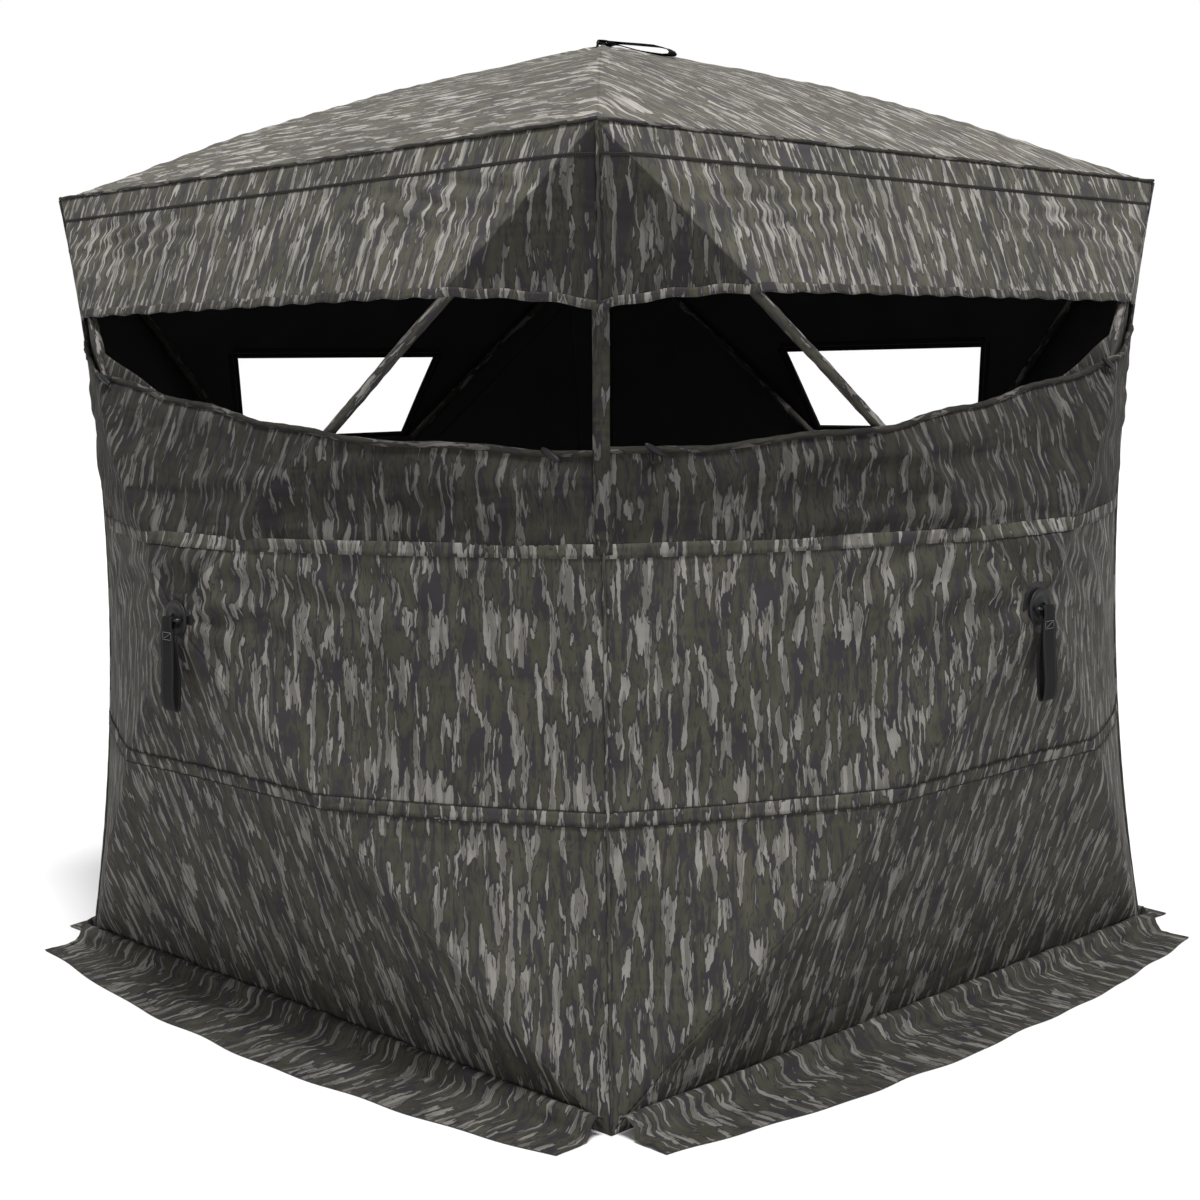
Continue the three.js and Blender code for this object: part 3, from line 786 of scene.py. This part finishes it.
def skirt_piece(p):
    name = p["name"]
    cols = 190
    s = np.linspace(-1, 1, cols) * (1 - 0.006 / HALF)
    out = 0.110 + 0.075 * (1 - s ** 2) + 0.005 * waves(s, 0 * s, p["seed"] + 8, 8, 1, 5)
    prof = [(0.010, 0.026), (0.016, 0.034), (0.025, 0.036), (0.034, 0.029), (0.040, 0.016),
            (0.046, 0.007), (0.056, 0.004)]
    rows = []
    for k, (dn, z) in enumerate(prof):
        wob = 0.0035 * waves(s, 0 * s + k * 0.1, p["seed"] + 3, 10, 3, 12)
        rows.append((np.full(cols, dn) + wob * (k > 0), z + wob * 0.8 * (0 < k < 5)))
    m = 14
    for k in range(1, m + 1):
        t = k / m
        ruffle = np.clip(waves(s, 0 * s + t * 0.25, p["seed"] + 1, 12, 1.5, 7), 0, 2)
        lift = 0.0028 + 0.0045 * ruffle * math.sin(math.pi * min(t * 1.15, 1))
        rows.append((0.056 + (out - 0.056) * t, lift))
    pts, uv, run = [], [], np.zeros(cols)
    for k, (dn, z) in enumerate(rows):
        z = np.maximum(z, 0.0016)
        p3 = (s * HALF)[:, None] * p["u"] + (HALF + dn)[:, None] * p["n"]
        p3 = p3 + (z * np.ones(cols))[:, None] * np.array([0, 0, 1.0])
        if k:
            run = run + np.linalg.norm(p3 - pts[-1], axis=1)
        pts.append(p3)
        uv.append(np.stack([s * HALF + p["seed"] * 2, run + 5], -1))
    ob = grid_mesh(f"{name}_skirt_cloth", np.array(pts), np.array(uv), [M_SKIRT, M_BLACK], flip=False)
    thicken(ob, 0.0012)
    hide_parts(f"{name}_skirt")
    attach(ob, "cabin")


for p in WALLS.values():
    skirt_piece(p)


def local(p, u, n, w):
    return p["o"] + u * p["u"] + n * p["n"] + w * p["w"]


def lathe(name, p, profile, mats, segs=48):
    """Turned about the hub axis: profile is (radius, height over the hub plane)."""
    prof = np.array(profile, float)
    th = np.linspace(0, 2 * np.pi, segs, endpoint=False)
    verts, uvs, faces = [], [], []
    for r, h in prof:
        for t in th:
            verts.append(local(p, r * math.cos(t), p["base"] + p["pop"] + h, r * math.sin(t)))
            uvs.append((r * math.cos(t), r * math.sin(t)))
    n = len(prof)
    for i in range(n - 1):
        for j in range(segs):
            k = (j + 1) % segs
            faces.append((i * segs + j, (i + 1) * segs + j, (i + 1) * segs + k, i * segs + k))
    faces.append(tuple(range(segs)))
    faces.append(tuple((n - 1) * segs + j for j in range(segs - 1, -1, -1)))
    ob = new_mesh(name, verts, faces, uvs, mats)
    bm = bmesh.new()
    bm.from_mesh(ob.data)
    bmesh.ops.recalc_face_normals(bm, faces=bm.faces)
    bm.to_mesh(ob.data)
    bm.free()
    return ob


def turn(p, v, slope=0.0):
    """Strap frame: the roof's strap is tipped down and turned towards a corner."""
    u, n, w = v
    if p["name"] != "roof":
        return np.array(v, float)
    c, s = math.cos(math.radians(-slope)), math.sin(math.radians(-slope))
    n, w = n * c - w * s, n * s + w * c
    c, s = math.cos(math.radians(-160)), math.sin(math.radians(-160))
    return np.array((u * c + w * s, n, -u * s + w * c))


def hub_outside(p):
    nm = p["name"]
    disc = [(0.0305, 0.0026), (0.0312, 0.0034), (0.0312, 0.0052), (0.0300, 0.0064), (0.0245, 0.0068),
            (0.0228, 0.0058), (0.0160, 0.0058), (0.0150, 0.0070), (0.0085, 0.0074), (0.0075, 0.0064),
            (0.0040, 0.0062), (0.0005, 0.0061)]
    cap = lathe(f"{nm}_hub_disc", p, disc, [M_PLASTIC])
    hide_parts(f"{nm}_hub_cap")
    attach(cap, f"{nm}_hub")
    bar = 0.01735
    corner = [(-0.0215, 0.0055), (-0.0218, 0.0100), (-0.0216, 0.0140), (-0.0190, 0.0166), (-0.0160, bar)]
    path = corner + [(x, bar) for x in np.linspace(-0.012, 0.012, 7)] + [(-x, h) for x, h in reversed(corner)]
    pts = []
    for x, h in path:
        v = turn(p, (x, h, 0))
        pts.append(local(p, v[0], p["base"] + p["pop"] + v[1], v[2]))
    ring = tube(f"{nm}_strap_ring", pts, 0.0028, [M_STEEL], 16)
    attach(ring, f"{nm}_hub")
    loop = [(-0.0044 * math.cos(t), 0.0044 * math.sin(t)) for t in np.linspace(0, math.pi, 9)]
    down = [(0.0049, -0.010), (0.0038, -0.020), (0.0036, -0.032), (0.0052, -0.055), (0.0078, -0.085),
            (0.0082, -0.115), (0.0066, -0.138)]
    bend = [(0.0045, -0.1465), (0.0010, -0.1510), (-0.0030, -0.1490)]
    back = [(-0.0052, -0.138), (-0.0062, -0.115), (-0.0048, -0.085), (-0.0020, -0.055), (0.0008, -0.032),
            (0.0006, -0.020), (-0.0030, -0.010)]
    line = loop + down + bend + back + [loop[0]]
    run, rows, uv, last = 0.0, [], [], None
    for n0, w0 in line:
        wide = 0.0155 + (0.0188 - 0.0155) * min(1, max(0, (-w0 - 0.010) / 0.020))
        if last is not None:
            run += math.hypot(n0 - last[0], w0 - last[1])
        last = (n0, w0)
        row, uvr = [], []
        for k in np.linspace(-1, 1, 7):
            sway = 0.0022 * math.sin(w0 * 34 + p["seed"]) * (w0 < -0.03)
            v = turn(p, (k * wide + sway, n0 + 0.0006 * math.cos(k * 3 + w0 * 80), w0), 12.0)
            row.append(local(p, v[0], p["base"] + p["pop"] + bar + v[1], v[2]))
            uvr.append(((k + 1) / 2, run))
        rows.append(row)
        uv.append(uvr)
    strap = grid_mesh(f"{nm}_strap_web", np.array(rows), np.array(uv), [M_WEB])
    thicken(strap, 0.0013, inner=False, offset=0)
    b = strap.modifiers.new("round", "BEVEL")
    b.width = 0.0003
    b.limit_method = "ANGLE"
    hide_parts(f"{nm}_pull_strap")
    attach(strap, f"{nm}_pull_strap")
    box_path = [(-0.012, -0.021), (0.012, -0.021), (0.012, -0.033), (-0.012, -0.033),
                (-0.012, -0.021), (0.012, -0.033)]
    pts = []
    for (x0, w0), (x1, w1) in zip(box_path[:-1], box_path[1:]):
        for t in np.linspace(0, 1, 7)[:-1]:
            v = turn(p, (x0 + (x1 - x0) * t, 0.0048, w0 + (w1 - w0) * t), 12.0)
            pts.append(local(p, v[0], p["base"] + p["pop"] + bar + v[1], v[2]))
    sew = tube(f"{nm}_strap_stitch", pts, 0.0005, [M_THREAD], 6)
    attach(sew, f"{nm}_pull_strap")


M_THREAD = hard("thread", (0.10, 0.10, 0.095), 0.7)
for p in PANELS.values():
    hub_outside(p)
    for node in (f"{p['name']}_hub",):
        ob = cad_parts[node]
        for slot_ in ob.material_slots:
            slot_.material = M_PLASTIC

# ---- corners: piping down the seams, the strap across the window, and the rod pockets ----
DIAG = {(-1, -1): "near", (1, -1): "right", (-1, 1): "left", (1, 1): "far"}
for (sx, sy), nm in DIAG.items():
    spans = [(0.012, 1.478)]
    if (sx, sy) == (-1, -1):
        spans = [(0.012, 0.866), (1.219, 1.478)]
    for k, (z0, z1) in enumerate(spans):
        z = np.linspace(z0, z1, 90)
        v = (z - HZ) / HZ
        e = HALF - BOW * (1 - v * v) + 0.0014
        wob = 0.0006 * np.sin(z * 130 + sx)
        path = np.stack([sx * (e + wob), sy * (e - wob), z], -1)
        pipe = tube(f"{nm}_corner_piping_{k + 1}", path, 0.0026, [M_PIPE], 10)
        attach(pipe, "cabin")
for nm, p in WALLS.items():
    u = np.linspace(-0.751, 0.751, 120)
    path = p["n"] * (HALF + 0.0012) + u[:, None] * p["u"]
    path = path + np.array([0, 0, 1.0]) * (H + 0.0016 + 0.0007 * np.sin(u * 90))[:, None]
    pipe = tube(f"{nm}_eave_piping", path, 0.0027, [M_PIPE], 10)
    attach(pipe, "cabin")
z = np.linspace(0.862, 1.226, 60)
v = (z - HZ) / HZ
e = (HALF - BOW * (1 - v * v)) * math.sqrt(2) + 0.0046 + 0.0016 * np.sin(z * 21)
rows, uv = [], []
for i in range(60):
    row = []
    for x in np.linspace(-1, 1, 5):
        side = x * 0.0125 + 0.0010 * math.sin(z[i] * 17)
        r = e[i] - 0.0012 * x * x
        row.append((-(r / math.sqrt(2)) + side / math.sqrt(2), -(r / math.sqrt(2)) - side / math.sqrt(2), z[i]))
    rows.append(row)
    uv.append([(x * 0.0125 + 0.4, z[i]) for x in np.linspace(-1, 1, 5)])
strap = grid_mesh("corner_strap_web", np.array(rows), np.array(uv), [M_SCREEN, M_BLACK])
thicken(strap, 0.0015, offset=0)
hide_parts("corner_strap")
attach(strap, "cabin")

for x, ix in ((-1, "left"), (1, "right")):
    for y, iy in ((-1, "front"), (1, "back")):
        for zz, iz in ((0, "bottom"), (1, "top")):
            base = np.array([x * 0.742, y * 0.742, 0.012 if zz == 0 else 1.470])
            aim = np.array([-x * 1.0, -y * 1.0, 1.0 if zz == 0 else -0.55])
            aim /= np.linalg.norm(aim)
            t = np.linspace(0, 0.046, 8)
            rad = np.array([0.004, 0.008, 0.0105, 0.012, 0.0125, 0.013, 0.0132, 0.0134])
            pk = tube(f"{iz}_cup_{iy}_{ix}", base + t[:, None] * aim, rad, [M_WEB], 20,
                      ripple=lambda s, th: 1 + 0.03 * np.sin(th * 4 + s * 90))
            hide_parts(f"{iz}_pocket_{iy}_{ix}")
            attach(pk, "cabin")


# ---- rear windows: binding tape, hanging covers and hooks; the door's zip ----
def line_strip(p, key, a0, a1, width, lift, mat, slot, facet, thick=0.0009, off=0.0):
    (u0, z0), (u1, z1) = a0, a1
    length = math.hypot(u1 - u0, z1 - z0)
    du, dz = (u1 - u0) / length, (z1 - z0) / length
    m = int(length / 0.008) + 2
    t = np.linspace(-width / 2, length + width / 2, m)[None, :]
    r = (np.linspace(0, 1, 4) - 0.5)[:, None] * width + off
    u = u0 + t * du - r * dz
    zz = z0 + t * dz + r * du
    pts = cloth(p, u / HALF, (zz - HZ) / p["hw"], lift)
    uv = np.stack([np.broadcast_to(np.linspace(0, 1, 4)[:, None], u.shape), np.broadcast_to(t, u.shape)], -1)
    ob = grid_mesh(key, pts, uv, [mat], flip=True)
    thicken(ob, thick, inner=False, offset=1)
    facet_blend(facet, ob)
    return ob


for nm in ("right", "back"):
    p = WALLS[nm]
    for i in range(4):
        ends = WINDOW[i], WINDOW[(i + 1) % 4]
        line_strip(p, f"{nm}_window_binding_{i + 1}", *ends, 0.018, 0.0010, M_TAPE, "wall_cloth", "upper",
                   off=-0.006)
        line_strip(p, f"{nm}_window_lining_{i + 1}", *ends, 0.022, -0.0022, M_ZIP, "webbing", "upper",
                   off=-0.008)
    hinge_z = REAR_BOTTOM - 0.008
    n0 = HALF + pop_out(p, (hinge_z - HZ) / HZ) - 0.025
    rows, uv = [], []
    R, C = ((26, 90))
    for i in range(R):
        t = i / (R - 1)
        zz = hinge_z - 0.196 * t
        half = (REAR_NARROW + 0.008) + (REAR_WIDE - REAR_NARROW) * t
        uu = np.linspace(-half, half, C)
        wav = 0.0035 * np.sin(uu * 38 + 2 * np.sin(uu * 9 + p["seed"])) + 0.002 * np.sin(uu * 71 + t * 3)
        wav = wav * t ** 0.8
        nn = n0 + wav - 0.006 * math.sin(math.pi * t) * 0.6
        rows.append(uu[:, None] * p["u"] + nn[:, None] * p["n"] + np.array([0, 0, zz - 0.002 * t]))
        uv.append(np.stack([uu + 2, np.full(C, zz)], -1))
    cov = grid_mesh(f"{nm}_cover_cloth", np.array(rows), np.array(uv), [M_BLACK])
    thicken(cov, 0.0012, inner=False, offset=0)
    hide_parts(f"{nm}_window_cover")
    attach(cov, f"{nm}_window_cover")
    for sgn in (-1, 1):
        hook_u, hook_z = sgn * (REAR_NARROW + 0.010), REAR_BOTTOM - 0.016
        nh = HALF + pop_out(p, (hook_z - HZ) / HZ) - 0.006
        c0 = hook_u * p["u"] + nh * p["n"] + np.array([0, 0, hook_z])
        th = np.linspace(-0.6, 4.4, 18)
        path = np.array([c0 - p["n"] * (0.004 + 0.006 * (1 - math.cos(t)))
                         + np.array([0, 0, 0.008 * math.sin(t)]) for t in th])
        hk = tube(f"{nm}_window_hook_{'a' if sgn < 0 else 'b'}", path, 0.0016, [M_PLASTIC], 10)
        facet_blend("upper", hk)
pb = WALLS["back"]
for i in (0, 2, 3):
    line_strip(pb, f"door_zip_{i + 1}", DOOR[i], DOOR[(i + 1) % 4], 0.026, 0.0012, M_ZIP, "webbing", "sideB")
line_strip(pb, "door_hinge_tape", DOOR[1], DOOR[2], 0.018, 0.0012, M_TAPE, "wall_cloth", "sideB")
zc = cloth(pb, np.array([0.60 / HALF]), np.array([0.530 / HZ]), 0.004)[0]
pull = [zc + pb["n"] * 0.002 + np.array([0, 0, -0.001]), zc + pb["n"] * 0.006 + np.array([0, 0, -0.010]),
        zc + pb["n"] * 0.006 + np.array([0.001, 0, -0.024]), zc + pb["n"] * 0.005 + np.array([0.002, 0, -0.040])]
slider = tube("door_zip_pull", pull, [0.0045, 0.0032, 0.0028, 0.0038], [M_STEEL], 12)
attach(slider, "door")

# ---- rolled top edge of the lowered screens, and their toggles ----
for nm in ("left", "front"):
    p = WALLS[nm]
    a = np.linspace(-EDGE, EDGE, 160)
    b = screen_edge(p)(a)
    sl = slack(p)(a, b, np.ones_like(a))
    path = cloth(p, a, b, 0.001, sl)
    roll = tube(f"{nm}_screen_roll", path, 0.0052, [M_SCREEN], 12,
                ripple=lambda s, th: 1 + 0.10 * np.sin(s * 60 + th) + 0.08 * np.sin(s * 143 + 2 * th))
    for facet, piece in split_facets(p, roll).items():
        facet_blend(facet, piece)
    for k, q in enumerate((0.065, 1.10)):
        aq = np.array([(p["near"] * (HALF - q)) / HALF])
        bq = screen_edge(p)(aq)
        c0 = cloth(p, aq, bq, 0.014)[0]
        t = np.linspace(-0.020, 0.020, 12)
        rad = 0.0052 * np.sqrt(np.clip(1 - (t / 0.0215) ** 2, 0.05, 1))
        slant = p["u"] * 0.9 + np.array([0, 0, 0.44])
        tg = tube(f"{nm}_screen_toggle_{k + 1}", c0 + t[:, None] * slant, rad, [M_PLASTIC], 14)
        th = np.linspace(0, 2 * np.pi * 0.97, 20)
        lp = np.array([c0 + p["u"] * 0.004 * math.sin(x) + np.array([0, 0, -0.010 + 0.010 * math.cos(x)])
                       - p["n"] * 0.003 for x in th])
        cd = tube(f"{nm}_toggle_loop_{k + 1}", lp, 0.0013, [M_PLASTIC], 8)
        facet = facet_of(p, c0)
        for ob in (tg, cd):
            facet_blend(facet, ob)

# ---- floor, light, camera ----
bpy.ops.mesh.primitive_plane_add(size=60, location=(0, 0, -0.0005))
floor = bpy.context.object
floor.name = "floor"
fm, nt, bs = node_mat("floor")
bs.inputs["Base Color"].default_value = (0.70, 0.70, 0.70, 1)
bs.inputs["Roughness"].default_value = 0.9
floor.data.materials.append(fm)

SKY_LIGHT, SKY_SEEN = 0.50, 1.0
world = bpy.data.worlds.new("studio")
bpy.context.scene.world = world
world.use_nodes = True
backdrop = world.node_tree.nodes["Background"]
backdrop.inputs[0].default_value = (1, 1, 1, 1)
seen = world.node_tree.nodes.new("ShaderNodeLightPath")
level = world.node_tree.nodes.new("ShaderNodeMapRange")
level.inputs["To Min"].default_value = SKY_LIGHT
level.inputs["To Max"].default_value = SKY_SEEN
world.node_tree.links.new(seen.outputs["Is Camera Ray"], level.inputs["Value"])
world.node_tree.links.new(level.outputs["Result"], backdrop.inputs[1])


def area_light(name, loc, size, power, target=(0, 0, 0.8)):
    l = bpy.data.lights.new(name, "AREA")
    l.energy = power
    l.shape = "RECTANGLE"
    l.size, l.size_y = size
    o = bpy.data.objects.new(name, l)
    o.location = loc
    o.rotation_euler = (Vector(target) - Vector(loc)).to_track_quat("-Z", "Y").to_euler()
    coll.objects.link(o)


SUN_FROM = (-0.22, -0.42, 1.0)
SUN_POWER = 4.2
SUN_SOFTNESS = 14
sun = bpy.data.lights.new("sun", "SUN")
sun.energy = SUN_POWER
sun.angle = math.radians(SUN_SOFTNESS)
sun_ob = bpy.data.objects.new("sun", sun)
sun_ob.rotation_euler = (-Vector(SUN_FROM)).to_track_quat("-Z", "Y").to_euler()
coll.objects.link(sun_ob)
area_light("fill", (-5.0, -5.0, 2.6), (4, 3), 60)

LENS = 58.05
CAMERA_AT = (-2.6813, -2.7286, 1.1246)
CAMERA_TURN = (0.7995, 0.1158, -0.0149)
cam_data = bpy.data.cameras.new("camera")
cam = bpy.data.objects.new("camera", cam_data)
coll.objects.link(cam)
bpy.context.scene.camera = cam
cam_data.sensor_width = 36
cam_data.lens = LENS
yaw, pitch, roll = CAMERA_TURN
fwd = Vector((math.cos(yaw) * math.cos(pitch), math.sin(yaw) * math.cos(pitch), -math.sin(pitch)))
right = Vector((math.sin(yaw), -math.cos(yaw), 0))
up = right.cross(fwd)
side = right * math.cos(roll) + up * math.sin(roll)
top = -right * math.sin(roll) + up * math.cos(roll)
turned = Matrix((side, top, -fwd)).transposed().to_4x4()
cam.matrix_world = Matrix.Translation(CAMERA_AT) @ turned
bpy.context.scene.view_settings.view_transform = "Standard"
